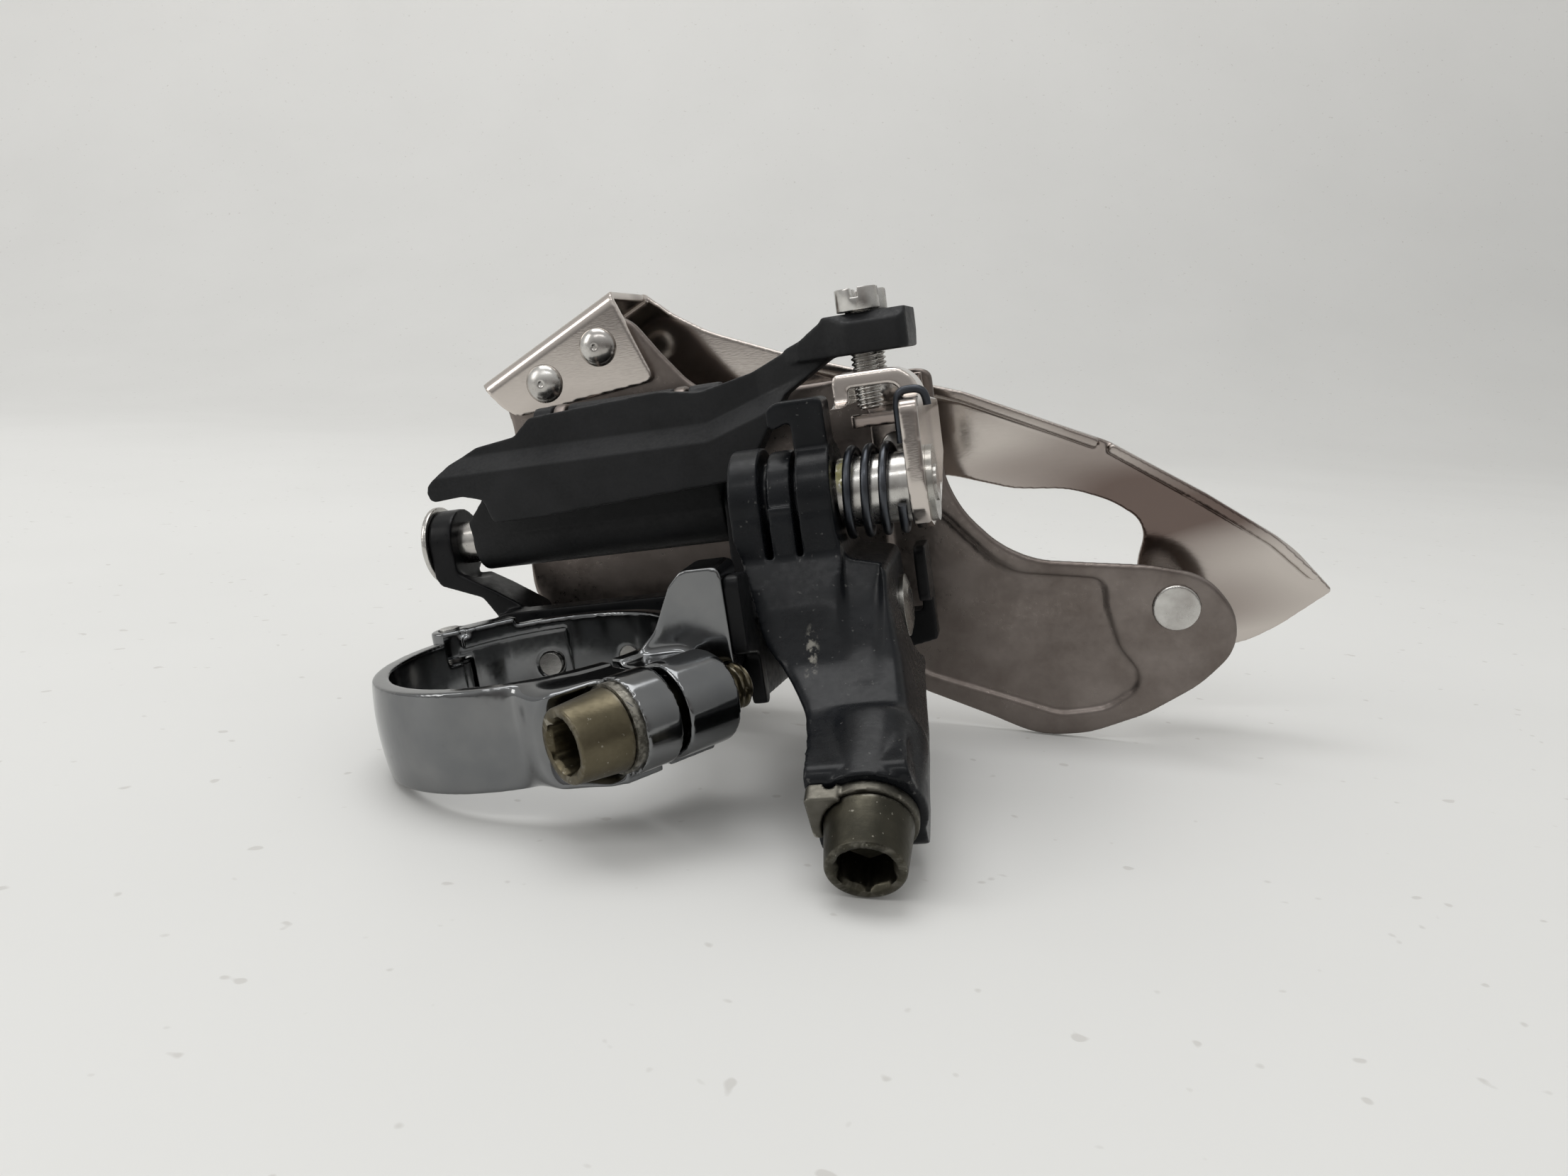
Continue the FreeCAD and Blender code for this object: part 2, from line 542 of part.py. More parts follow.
def inner_link():
    ay, az = cage_pivot
    by, bz = arm_pivot
    left = size("knuckle_left")
    right = size("arm_right")
    radius = size("knuckle_radius")
    boss_top = boss_face + Vector(0, -math.sin(tilt), math.cos(tilt)) * size("boss_radius")
    boss_low = boss_face - Vector(0, -math.sin(tilt), math.cos(tilt)) * size("boss_radius")
    root = boss_face - boss_way * 9.0
    boss_side = size("boss_right") - 0.6
    side = prism([(ay - radius, az), (ay - radius - 0.3, az - 5.5), (ay - radius - 3.2, az - 10.5),
                  (ay - radius - 7.4, az - 15.8), (ay - radius - 12.6, az - 19.2),
                  (boss_top.y, boss_top.z),
                  (boss_low.y, boss_low.z), (root.y + 2.0, root.z - 4.6), (by - 6.5, bz - 8.2),
                  (by + 1.0, bz - size("eye_radius")), (by + size("eye_radius"), bz),
                  (by + size("eye_radius") - 0.6, bz + 4.0), (ay + radius - 0.6, az - 3.0),
                  (ay + 2, az)],
                 "x", left, size("boss_right"), 1.5)
    front = prism([(left, az + radius + 1), (left, az - 3.0), (left + 0.9, az - 6.5),
                   (left + 3.2, az - 14.0),
                   (left + 6.6, az - 18.0), (size("boss_left"), az - 21.5),
                   (size("boss_left"), az - 36),
                   (boss_side, az - 36), (boss_side, az - 25.0), (right + 1.4, az - 17.5),
                   (right, az - 11.0), (right, az - 7.4), (knuckle_right + 0.6, az - 6.4),
                   (knuckle_right, az - 3.0), (knuckle_right, az + radius + 1)],
                  "y", -40, 40, 1.2)
    body = side.common(front)
    boss = rod(boss_face, boss_way * -1, size("boss_radius"), 10.0)
    knuckle = rod_x(ay, az, radius, left, knuckle_right)
    body = join(body, boss, knuckle)
    lug_left = 30.2 - gap
    lug_right = right - size("flange_wall")
    wall = size("arm_wall")
    cavity = prism([(ay - radius + wall, az - 7.6), (ay - radius - 2.0 + wall, az - 11.5),
                    (ay - radius - 6.0 + wall, az - 17.0), (by - 8.0, bz - 7.0), (by - 6.0, bz - 12.0),
                    (by + 12, bz - 12.0), (by + 12, az - 7.6)],
                   "x", lug_left, lug_right, 1.0)
    channel_middle = (knuckle_right + lug_right) / 2 + 0.4
    channel = prism([(channel_middle - 1.7, az - 2.0), (channel_middle - 2.0, az - 12.0),
                     (channel_middle - 0.6, az - 19.0), (channel_middle + 1.9, az - 19.0),
                     (channel_middle + 2.2, az - 12.0), (channel_middle + 2.4, az - 2.0)],
                    "y", -30, 40, 0.8)
    channel = channel.common(prism([(ay - radius - 10, az - 2), (ay - radius + 1.3, az - 2),
                                    (ay - radius + 1.0, az - 6.0), (ay - radius - 2.1, az - 11.0),
                                    (ay - radius - 5.7, az - 15.0), (ay - radius - 9.4, az - 17.6),
                                    (ay - radius - 16.0, az - 17.6)], "x", 30, 50))
    cuts = [cavity, channel]
    for groove_left, groove_width in ((left + 3.4, 0.9), (left + 6.9, 0.7)):
        groove = rod_x(ay, az, radius + 2, groove_left, groove_left + groove_width)
        core = rod_x(ay, az, radius - 2.0, groove_left - 1, groove_left + groove_width + 1)
        below = box(groove_left, groove_left + groove_width, ay - radius - 2, ay - radius + 2.0,
                    az - 5.5, az)
        cuts.append(groove.cut(core).cut(box(0, 60, ay + 1.5, ay + 20, 0, az + 1)).fuse(below))
    low_rib = rod_x(ay, az, radius + 2, left + 4.3, left + 6.9)
    cuts.append(low_rib.cut(rod_x(ay, az, radius - 0.6, left + 4,
                                  left + 7)).cut(box(0, 60, -20, 40, 0, az)))
    body = body.cut(cuts)
    rib = knuckle_right - 4.0
    stem = box(rib, knuckle_right - 0.2, ay - 2.6, ay + 2.0, az + 4.6, az + 10.0)
    hook_top = az + 11.0
    hook = prism([(rib - 2.6, hook_top - 3.2), (rib - 2.6, hook_top - 0.6), (rib - 1.4, hook_top),
                  (knuckle_right - 0.2, hook_top), (knuckle_right - 0.2, hook_top - 3.0),
                  (rib - 0.6, hook_top - 2.4)], "y", ay - 2.6, ay + 2.0, 0.7)
    eye_hole = rod_x(by, bz, pin_hole, left - 1, right + 3)
    pin_bore = rod_x(ay, az, pin_hole, left - 1, knuckle_right + 1)
    outside = rod_x(by, bz, 6.0, right, right + 5)
    bolt_hole = rod(boss_face + boss_way, boss_way * -1,
                    size("bolt_radius") + size("pin_running_gap"), 11)
    return join(body, stem, hook).cut([eye_hole, pin_bore, outside, bolt_hole])


feature("inner_link", inner_link())

turned("arm_pivot_pin",
       [("0", "0"), ("pivot_pin_radius", "0"),
        ("pivot_pin_radius", "arm_right - knuckle_left - 2.0"),
        ("0", "arm_right - knuckle_left - 2.0")],
       Vector(size("knuckle_left") + 2.9, *arm_pivot), Vector(1, 0, 0))
turned("arm_pivot_clip",
       [("pivot_pin_radius", "0"), ("eye_radius - 1.1", "0"), ("eye_radius - 1.1", "0.5"),
        ("pivot_pin_radius + 0.4", "0.9"), ("pivot_pin_radius", "0.9")],
       Vector(size("arm_right"), *arm_pivot), Vector(1, 0, 0))


def cable_plate():
    """The clamping plate under the cable bolt's head, with a square lug beside the cable's groove."""
    reach = size("boss_radius") - 0.8
    plate = Part.makeCylinder(reach, 1.2)
    lug = prism([(-reach - 0.7, -0.8), (-reach - 0.7, reach - 0.2), (-1.9, reach - 0.2), (-1.9, -0.8)],
                "z", 0.0, 1.9, 0.6)
    cable_groove = rod(Vector(-3.0, -12, 0), Vector(0, 1, 0), 0.6, 24)
    head_room = Part.makeCylinder(size("head_radius") + 0.15, 4, Vector(0, 0, 1.2))
    hole = Part.makeCylinder(size("bolt_radius") + 0.15, 8, Vector(0, 0, -3))
    return join(plate, lug).cut([cable_groove, head_room, hole])


boss_turn = Rotation(Vector(1, 0, 0), Vector(0, -math.sin(tilt), math.cos(tilt)), boss_way, "ZXY")
feature("cable_plate", cable_plate(), Placement(boss_face, boss_turn))
turned("cable_bolt",
       [("0", "0"), ("bolt_radius - 0.5", "0"), ("bolt_radius", "0.5"),
        ("bolt_radius", "cable_bolt_length"), ("head_radius", "cable_bolt_length"),
        ("head_radius", "cable_bolt_length + 0.6"), ("face_radius", "cable_bolt_length + head_length"),
        ("0", "cable_bolt_length + head_length")],
       boss_face - boss_way * (size("cable_bolt_length") - 1.2), boss_way, socket=True)

# ---------------------------------------------------------------- outer link


def outer_link():
    dy, dz = rear_pivot
    cy, cz = hanger_pivot
    left = size("link_left")
    right = size("link_right")
    radius = size("link_barrel_radius")
    lean = Vector(0, cy - dy, cz - dz)
    lean.normalize()
    across = Vector(0, lean.z, -lean.y) * (radius * 0.9)
    bottom = Vector(left, dy, dz)
    top = Vector(left, cy, cz)
    web = prism([(p.y, p.z) for p in (bottom - across, bottom + across, top + across, top - across)],
                "x", left, right)
    barrel = rod_x(dy, dz, radius, left, right)
    upper_left = -4.4
    upper = rod_x(cy, cz, size("hanger_barrel_radius"), upper_left, right + 2.0)
    web = web.common(prism([(left, dz - 6), (left, dz + 3.0), (-12.0, dz + 7.6), (-8.0, cz - 3.4),
                            (upper_left, cz - 1.0),
                            (upper_left, cz + 2.2), (right, cz + 2.2), (right, dz - 6)], "y", -20, 60))
    hollow = prism([(dy - 2.4, dz + 5.2), (dy - 7.5, dz + 5.2), (dy - 7.5, dz + 9.0),
                    (dy + 6, dz + 9.0),
                    (dy + 6, dz + 5.2)], "x", left + 5.0, right - 5.0)
    front = size("fairing_front")
    back = front + size("fairing_wall")
    block_left = size("screw_block_left")
    block_low = size("screw_block_bottom")
    block_top = size("screw_block_top")
    fairing = prism([(-19.2, 22.3), (-19.2, 24.4), (-16.2, 26.8), (-12.3, 28.5), (-6.8, 29.2),
                     (-4.3, 31.3),
                     (13.2, 32.2), (18.5, 31.4), (25.4, 32.8), (31.5, 35.2), (block_left, block_top),
                     (block_left + 2, block_top), (block_left + 2, block_low),
                     (block_left, block_low), (29.5, 29.6),
                     (24.6, 22.4), (20.8, 20.1), (9.1, 19.5), (-4.5, 18.7), (-10.9, 18.7),
                     (-11.7, 21.8), (-14.6, 22.6)],
                    "y", front, back, 1.1)
    block_front = size("screw_block_front")
    block_rear = size("screw_block_rear")
    block = prism([(block_left, block_front + 1.6), (block_left + 2.6, block_front),
                   (size("screw_block_right") - 0.9, block_front), (size("screw_block_right"),
                                                                    block_front + 0.9),
                   (size("screw_block_right"), block_rear), (block_left + 1.2, block_rear),
                   (block_left - 3.2, back + 1.6), (block_left - 6.0, front)],
                  "z", block_low, block_top, 0.8)
    wing = prism([(block_left - 7, block_low - 4), (block_left - 7, 34.4), (block_left - 3.4, 35.6),
                  (block_left - 0.6, block_top - 0.5), (block_left + 0.4, block_top + 1),
                  (block_left + 20, block_top + 1), (block_left + 20, block_low - 4)],
                 "y", block_front - 5, block_rear + 5)
    block = block.common(wing)
    shape = join(web, barrel, upper, fairing, block)
    heel = prism([(block_rear - 2.4, block_low - 1), (block_rear - 2.4, block_low),
                  (block_rear + 1, block_low + 3.4),
                  (block_rear + 1, block_low - 1)], "x", block_left - 10, block_left + 20)
    saddle = rod_x(block_front - 2.2, block_top + 3.4, 5.0, block_left - 8, block_left + 20)
    slots = []
    for hanger in (size("front_hanger_left"), size("rear_hanger_left")):
        low = hanger - gap
        high = hanger + size("hanger_wall") + gap
        slots.append(rod_x(cy, cz, size("hanger_radius") + 0.45, low, high))
        slots.append(box(low, high, cy, cy + 20, cz - size("hanger_radius") - 0.45, cz + 20))
    screw_holes = [Part.makeCylinder(size("limit_screw_radius"), 30,
                                     Vector(size(n + "_x"), size(n + "_y"), 15))
                   for n in ("low_screw", "high_screw")]
    bores = [rod_x(dy, dz, pin_hole, left - 1, right + 1),
             rod_x(cy, cz, size("hanger_pin_radius"), left - 3, right + 8)]
    return shape.cut([hollow, saddle, heel] + slots + screw_holes + bores)


feature("outer_link", outer_link())

turned("rear_pivot_pin",
       [("0", "0"), ("pivot_pin_radius", "0"),
        ("pivot_pin_radius", "link_right + side_gap + 4.4 - rear_ear_left"),
        ("0", "link_right + side_gap + 4.4 - rear_ear_left")],
       Vector(size("rear_ear_left"), *rear_pivot), Vector(1, 0, 0))


def dome():
    """The domed cap on the end of the rear pivot pin."""
    radius = size("dome_radius")
    height = size("dome_height")
    ball = (radius ** 2 + (height - 0.7) ** 2) / (2 * (height - 0.7))
    cap = Part.makeSphere(ball, Vector(0, 0, height - ball))
    return cap.common(Part.makeCylinder(radius, height))


feature("rear_pivot_cap", dome(),
        Placement(Vector(size("rear_ear_left"), *rear_pivot),
                  Rotation(Vector(0, 0, 1), Vector(-1, 0, 0))))

turned("rear_pivot_bush",
       [("pivot_pin_radius", "0"), ("pivot_pin_radius + 0.9", "0"),
        ("pivot_pin_radius + 0.9", "link_left - rear_ear_left - rear_ear_width - 0.1"),
        ("pivot_pin_radius", "link_left - rear_ear_left - rear_ear_width - 0.1")],
       Vector(size("rear_ear_left") + size("rear_ear_width"), *rear_pivot), Vector(1, 0, 0))
turned("hanger_pin",
       [("0", "0"), ("hanger_pin_radius", "0"),
        ("hanger_pin_radius", "link_right + 5.6"), ("0", "link_right + 5.6")],
       Vector(-3.9, *hanger_pivot), Vector(1, 0, 0))


for name in ("low_limit_screw", "high_limit_screw"):
    short = name.replace("_limit", "")
    shank = size("screw_block_top") + 0.2 - size(short + "_tip")
    head = Part.makeCylinder(size("limit_head_radius"), size("limit_head_height"))
    head = head.cut([box(-4, 4, -0.45, 0.45, size("limit_head_height") - 1.1, 5),
                     box(-0.45, 0.45, -4, 4, size("limit_head_height") - 1.1, 5)])
    stem = Part.makeCylinder(size("limit_screw_radius"), shank, Vector(0, 0, -shank))
    feature(name, join(head, stem),
            Placement(Vector(size(short + "_x"), size(short + "_y"), size("screw_block_top") + 0.2),
                      Rotation()))

# ---------------------------------------------------------------- cage

FRONT_SLOPE = [(-15.4, 36.6), (5.2, 46.2)]


def inner_cage_plate():
    cy, cz = hanger_pivot
    outline = [(-13.4, 35.8), (-12.0, 31.0), (-12.6, 18.0), (-13.6, 7.0), (-11.5, 3.0), (4.0, 1.0),
               (22.0, -3.5),
               (38.5, -11.8), (48.6, -16.9), (54.5, -20.2), (61.0, -20.4), (68.5, -18.4), (75.5, -15.0),
               (80.2, -11.0), (80.8, -6.0), (77.5, -0.6), (71.0, 1.3), (56.5, 3.6), (52.0, 6.3),
               (48.0, 11.0),
               (46.0, 16.0), (46.0, 29.6), (44.5, 30.3), (24.0, 30.2), (15.4, 30.8), (10.4, 37.4),
               (7.2, 42.2),
               (3.4, 43.6)]
    plate = prism(outline, "y", inner_front, inner_back, 14.0)
    rib = [(38.0, -9.2), (50.5, -14.4), (57.5, -17.4), (63.5, -17.2), (69.2, -14.0), (66.0, -9.0),
           (64.9, -3.5),
           (65.0, 0.4), (53.8, 2.4), (51.0, 4.4), (47.4, 8.6), (45.0, 11.6), (38.0, 14.0)]
    recess = prism(rib, "y", inner_front - 1, inner_front + 0.55, 6.0)
    hangers = []
    for hanger in (size("front_hanger_left"), size("rear_hanger_left")):
        high = hanger + size("hanger_wall")
        reach = size("hanger_radius")
        hangers.append(rod_x(cy, cz, reach, hanger, high))
        hangers.append(box(hanger, high, cy, inner_back - 0.01, cz - reach, cz))
    hole = rod_x(cy, cz, size("hanger_pin_radius") + 0.15, -30, 40)
    tail = rod_y(size("tail_rivet_x"), size("tail_rivet_z"), 2.0, inner_front - 2, inner_back + 2)
    rivets = [rod_y(x, z, 1.5, inner_front - 2, inner_back + 2) for x, z in FRONT_RIVETS + EAR_RIVETS]
    return join(plate.cut(recess), *hangers).cut([hole, tail] + rivets)


def outer_cage_plate():
    outline = [FRONT_SLOPE[0], (-13.0, 31.0), (-4.0, 25.0), (12.0, 19.0), (30.0, 15.4), (45.3, 14.7),
               (54.4, 11.5),
               (62.0, 10.6), (67.5, 8.2), (72.0, 4.4), (69.5, -2.0), (70.5, -8.6), (76.0, -13.2),
               (82.6, -14.0),
               (88.0, -11.7), (95.2, -7.5), (91.0, -1.6), (88.4, 1.0), (79.8, 7.9), (71.0, 14.2),
               (68.0, 16.4),
               (62.0, 19.4), (49.1, 25.9), (24.5, 34.9), (14.1, 39.4), (9.2, 42.6), FRONT_SLOPE[1]]
    rounding = [0.4] + [14.0] * 14 + [0.5] + [14.0] * 10 + [0.4]
    plate = prism(outline, "y", outer_front, outer_back, rounding)
    start = Vector(FRONT_SLOPE[0][0], 0, FRONT_SLOPE[0][1])
    end = Vector(FRONT_SLOPE[1][0], 0, FRONT_SLOPE[1][1])
    along = end.sub(start)
    along.normalize()
    inward = Vector(along.z, 0, -along.x)
    wall = size("outer_plate_wall")
    tab_front = inner_front - wall
    depth = 18.0
    bend = prism([(0.0, outer_back), (0.0, tab_front), (depth, tab_front), (depth, inner_front),
                  (wall, inner_front), (wall, outer_back)], "z", 0.0, end.sub(start).Length,
                 [0, 2.0, 0, 0, 0.2, 0])
    bend.Placement = Placement(start, Rotation(inward, Vector(0, 1, 0), along, "ZXY"))
    tab = prism([(start.x, start.z), (end.x, end.z), (6.2, 43.5), (9.8, 33.6), (-10.6, 31.5),
                 (-12.6, 33.0)],
                "y", tab_front - 1, outer_back + 1, [0.3, 0.3, 0.8, 1.2, 2.0, 0.6])
    bridge = bend.common(tab)
    rim = prism([(68.0, 16.4), (79.8, 7.9), (88.4, 1.0), (93.4, -5.0), (92.4, -5.6), (87.6, -0.2),
                 (79.0, 6.7), (67.4, 15.2)], "y", outer_front - 1.6, outer_front, 0.6)
    rail_rim = prism([(24.5, 34.9), (49.1, 25.9), (62.0, 19.4), (66.6, 17.0), (66.0, 15.8),
                      (61.4, 18.2),
                      (48.6, 24.6), (24.1, 33.6)], "y", outer_front - 0.8, outer_front, 0.5)
    tail = rod_y(size("tail_rivet_x"), size("tail_rivet_z"), 2.0, outer_front - 2, outer_back + 2)
    rivets = [rod_y(x, z, 1.5, tab_front - 2, inner_back) for x, z in FRONT_RIVETS]
    return join(plate, bridge, rim, rail_rim).cut([tail] + rivets)


FRONT_RIVETS = [(2.6, 39.1), (-5.8, 35.4)]
EAR_RIVETS = [(40.6, 20.8), (40.6, 28.6)]


def cage_ear():
    """A bent bracket: the cage pivot's ear, the lip over it and the shelf the limit screws meet."""
    ay, az = cage_pivot
    flange_front = inner_front - 1.4
    lip_top = 31.2
    wall = size("cage_ear_wall")
    lip_wall = 1.7
    shelf_top = size("low_screw_tip") - 0.4
    side = prism([(ay, az - 4.9), (ay - 4.2, az - 3.6), (ay - 4.9, az), (ay - 4.4, az + 9.4),
                  (ay + 1.2, az + 9.9),
                  (ay + 1.6, lip_top), (ay + 6.0, lip_top), (ay + 8.6, shelf_top + 1.2),
                  (flange_front + 0.6, shelf_top), (inner_front, shelf_top - 0.2),
                  (inner_front, az + 1.0),
                  (ay + 12, az - 4.2)],
                 "x", 36, ear_right, [3, 3, 6, 1.2, 0.3, 0.6, 0.8, 1.2, 0.5, 0, 0, 4])
    folded = prism([(36.8, lip_top - 3.6), (36.8, lip_top), (ear_right, lip_top), (ear_right, az - 8),
                    (ear_left, az - 8), (ear_left, lip_top - lip_wall),
                    (36.8 + lip_wall, lip_top - lip_wall),
                    (36.8 + lip_wall, lip_top - 3.6)],
                   "y", -10, 40, [0.3, 0.8, 3.4, 0, 0, 3.4 - lip_wall, 0.2, 0.3])
    left = ear_right - wall - 7.0
    shelf = box(left, ear_left + 0.5, 15.6, inner_front, shelf_top - 1.6, shelf_top)
    flange = box(left, ear_left + 0.5, flange_front, inner_front, az - 0.5, lip_top - 1.4)
    bore_hole = rod_x(ay, az, pin, ear_left - 1, ear_right + 1)
    rivets = [rod_y(x, z, 1.5, flange_front - 2, inner_front + 1) for x, z in EAR_RIVETS]
    return join(side.common(folded), shelf, flange).cut([bore_hole] + rivets)


feature("inner_cage_plate", inner_cage_plate())
feature("outer_cage_plate", outer_cage_plate())
feature("cage_ear", cage_ear())

turned("cage_pivot_pin",
       [("0", "0"), ("pivot_pin_radius", "0"),
        ("pivot_pin_radius", "cage_ear_left + cage_ear_wall + 0.9 - knuckle_left"),
        ("0", "cage_ear_left + cage_ear_wall + 0.9 - knuckle_left")],
       Vector(size("knuckle_left"), *cage_pivot), Vector(1, 0, 0))
turned("cage_pivot_sleeve",
       [("pivot_pin_radius", "0"), ("sleeve_radius", "0"),
        ("sleeve_radius", "cage_ear_left - knuckle_left - knuckle_width - 0.3"),
        ("pivot_pin_radius", "cage_ear_left - knuckle_left - knuckle_width - 0.3")],
       Vector(knuckle_right + 0.3, *cage_pivot), Vector(1, 0, 0))
turned("cage_pivot_clip",
       [("pivot_pin_radius", "0"), ("pivot_pin_radius + 2.2", "0"), ("pivot_pin_radius + 2.2", "0.7"),
        ("pivot_pin_radius", "0.7")],
       Vector(ear_right, *cage_pivot), Vector(1, 0, 0))


def return_spring():
    """A torsion spring round the sleeve; one leg rests in front of the cage ear."""
    ay, az = cage_pivot
    wire = size("spring_wire_radius")
    mean = size("sleeve_radius") + wire + 0.3
    start = knuckle_right + 0.3 + wire + 0.2
    pitch = (ear_left - wire - 0.3 - start) / size("spring_turns")
    helix = Part.makeHelix(pitch, pitch * size("spring_turns"), mean, 0, True)
    section = Part.Wire(Part.makeCircle(wire, Vector(mean, 0, 0),
                                        Vector(0, -1, pitch / (2 * math.pi * mean))))
    coil = Part.Wire(helix.Edges).makePipeShell([section], True, True)
    return coil, Placement(Vector(start, ay, az), Rotation(Vector(0, 0, 1), Vector(1, 0, 0)))


feature("return_spring", *return_spring())


def dimpled_rivet(x, z, front, back, head_radius, head_height):
    stem = rod_y(x, z, 1.5, front, back)
    ball = (head_radius ** 2 + head_height ** 2) / (2 * head_height)
    head = Part.makeSphere(ball, Vector(x, front - head_height + ball, z))
    head = head.common(rod_y(x, z, head_radius, front - head_height, front))
    tail = Part.makeCone(2.2, 1.6, 0.5, Vector(x, back, z), Vector(0, 1, 0))
    return join(stem, head, tail)


tab_face = inner_front - size("outer_plate_wall")
feature("front_rivets", Part.makeCompound(
    [dimpled_rivet(x, z, tab_face, inner_back, size("front_rivet_radius"), 1.5) for x,
     z in FRONT_RIVETS]))
feature("ear_rivets", Part.makeCompound(
    [dimpled_rivet(x, z, inner_front - 1.4, inner_back, 1.9, 0.5) for x, z in EAR_RIVETS]))

turned("tail_spacer",
       [("2.0", "0"), ("tail_rivet_radius", "0"), ("tail_rivet_radius", "cage_gap"),
        ("2.0", "cage_gap")],
       Vector(size("tail_rivet_x"), inner_back, size("tail_rivet_z")), Vector(0, 1, 0))
turned("tail_rivet",
       [("0", "0"), ("tail_rivet_radius - 0.2", "0"), ("tail_rivet_radius", "0.5"),
        ("2.0", "0.5"), ("2.0", "inner_plate_wall + cage_gap + outer_plate_wall + 0.5"),
        ("tail_rivet_radius", "inner_plate_wall + cage_gap + outer_plate_wall + 0.5"),
        ("tail_rivet_radius - 0.4", "inner_plate_wall + cage_gap + outer_plate_wall + 1.1"),
        ("0", "inner_plate_wall + cage_gap + outer_plate_wall + 1.1")],
       Vector(size("tail_rivet_x"), inner_front - 0.5, size("tail_rivet_z")), Vector(0, 1, 0))

# ---------------------------------------------------------------- checks and export

doc.recompute()
for obj in doc.Objects:
    bad = [state for state in obj.State if state in ("Invalid", "Error")]
    assert not bad, "%s: %s" % (obj.Label, bad)
for obj in parts:
    assert not obj.Shape.isNull() and obj.Shape.isValid(), obj.Label + " is not a valid shape"
os.makedirs("parts", exist_ok=True)
for obj in parts:
    obj.Shape.exportStep("parts/%s.step" % obj.Label)
    print("%-20s solids %d volume %9.2f" % (obj.Label, len(obj.Shape.Solids), obj.Shape.Volume))
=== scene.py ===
import json
import math

import bmesh
import bpy
from mathutils import Matrix, Vector, noise


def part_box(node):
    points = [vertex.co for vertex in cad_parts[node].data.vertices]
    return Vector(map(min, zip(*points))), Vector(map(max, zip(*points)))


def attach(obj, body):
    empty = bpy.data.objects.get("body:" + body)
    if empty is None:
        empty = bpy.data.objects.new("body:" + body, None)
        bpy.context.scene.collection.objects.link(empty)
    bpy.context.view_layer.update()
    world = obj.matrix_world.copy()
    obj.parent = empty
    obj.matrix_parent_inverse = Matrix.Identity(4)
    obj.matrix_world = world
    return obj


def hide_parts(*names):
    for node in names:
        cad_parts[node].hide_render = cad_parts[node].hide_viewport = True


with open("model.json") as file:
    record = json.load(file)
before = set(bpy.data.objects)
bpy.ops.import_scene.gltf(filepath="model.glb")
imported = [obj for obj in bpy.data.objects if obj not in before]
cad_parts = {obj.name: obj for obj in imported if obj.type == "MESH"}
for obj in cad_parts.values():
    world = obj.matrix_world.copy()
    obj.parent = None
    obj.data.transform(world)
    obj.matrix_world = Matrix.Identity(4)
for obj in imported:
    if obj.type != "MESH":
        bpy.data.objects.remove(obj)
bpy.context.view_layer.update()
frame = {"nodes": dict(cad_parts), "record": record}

MM = 0.001
NODES = frame["nodes"]
BODY_OF = {node: body for body, nodes in frame["record"]["behaviour"]["bodies"].items() for node in nodes}
SLOT_OF = {part["node"]: part["material_slot"] for part in frame["record"]["subparts"]}

# ------------------------------------------------------------------ materials


def new_material(name):
    material = bpy.data.materials.new(name)
    material.use_nodes = True
    return material, material.node_tree.nodes, material.node_tree.links


def add(nodes, kind, **values):
    node = nodes.new(kind)
    for key, value in values.items():
        if key in node.inputs:
            node.inputs[key].default_value = value
        else:
            setattr(node, key, value)
    return node


def ramp(nodes, links, source, low, high, dark, light):
    """Maps the span from low to high onto the span from dark to light."""
    node = nodes.new("ShaderNodeMapRange")
    node.inputs["From Min"].default_value = low
    node.inputs["From Max"].default_value = high
    node.inputs["To Min"].default_value = dark
    node.inputs["To Max"].default_value = light
    links.new(source, node.inputs["Value"])
    return node.outputs["Result"]


def texture(nodes, links, scale, detail=4.0, stretch=(1, 1, 1), rough=0.55, offset=(0, 0, 0)):
    """Noise in the object's own coordinates."""
    where = nodes.new("ShaderNodeTexCoord")
    mapping = nodes.new("ShaderNodeMapping")
    mapping.inputs["Scale"].default_value = stretch
    mapping.inputs["Location"].default_value = offset
    links.new(where.outputs["Object"], mapping.inputs["Vector"])
    node = add(nodes, "ShaderNodeTexNoise", Scale=scale, Detail=detail, Roughness=rough)
    links.new(mapping.outputs["Vector"], node.inputs["Vector"])
    return node.outputs["Fac"]


def mix(nodes, links, factor, a, b):
    node = nodes.new("ShaderNodeMix")
    node.data_type = "RGBA"
    for socket, value in ((node.inputs["A"], a), (node.inputs["B"], b)):
        if isinstance(value, tuple):
            socket.default_value = (*value, 1.0)
        else:
            links.new(value, socket)
    links.new(factor, node.inputs["Factor"])
    return node.outputs["Result"]


def multiply(nodes, links, a, b):
    node = nodes.new("ShaderNodeMath")
    node.operation = "MULTIPLY"
    links.new(a, node.inputs[0])
    if isinstance(b, float):
        node.inputs[1].default_value = b
    else:
        links.new(b, node.inputs[1])
    return node.outputs["Value"]


def spot(nodes, links, place, reach):
    """A soft mask round one place on the object, in metres."""
    where = nodes.new("ShaderNodeTexCoord")
    apart = nodes.new("ShaderNodeVectorMath")
    apart.operation = "SUBTRACT"
    apart.inputs[1].default_value = place
    links.new(where.outputs["Object"], apart.inputs[0])
    divide = nodes.new("ShaderNodeVectorMath")
    divide.operation = "DIVIDE"
    divide.inputs[1].default_value = reach
    links.new(apart.outputs["Vector"], divide.inputs[0])
    length = nodes.new("ShaderNodeVectorMath")
    length.operation = "LENGTH"
    links.new(divide.outputs["Vector"], length.inputs[0])
    return ramp(nodes, links, length.outputs["Value"], 0.5, 1.0, 1.0, 0.0)


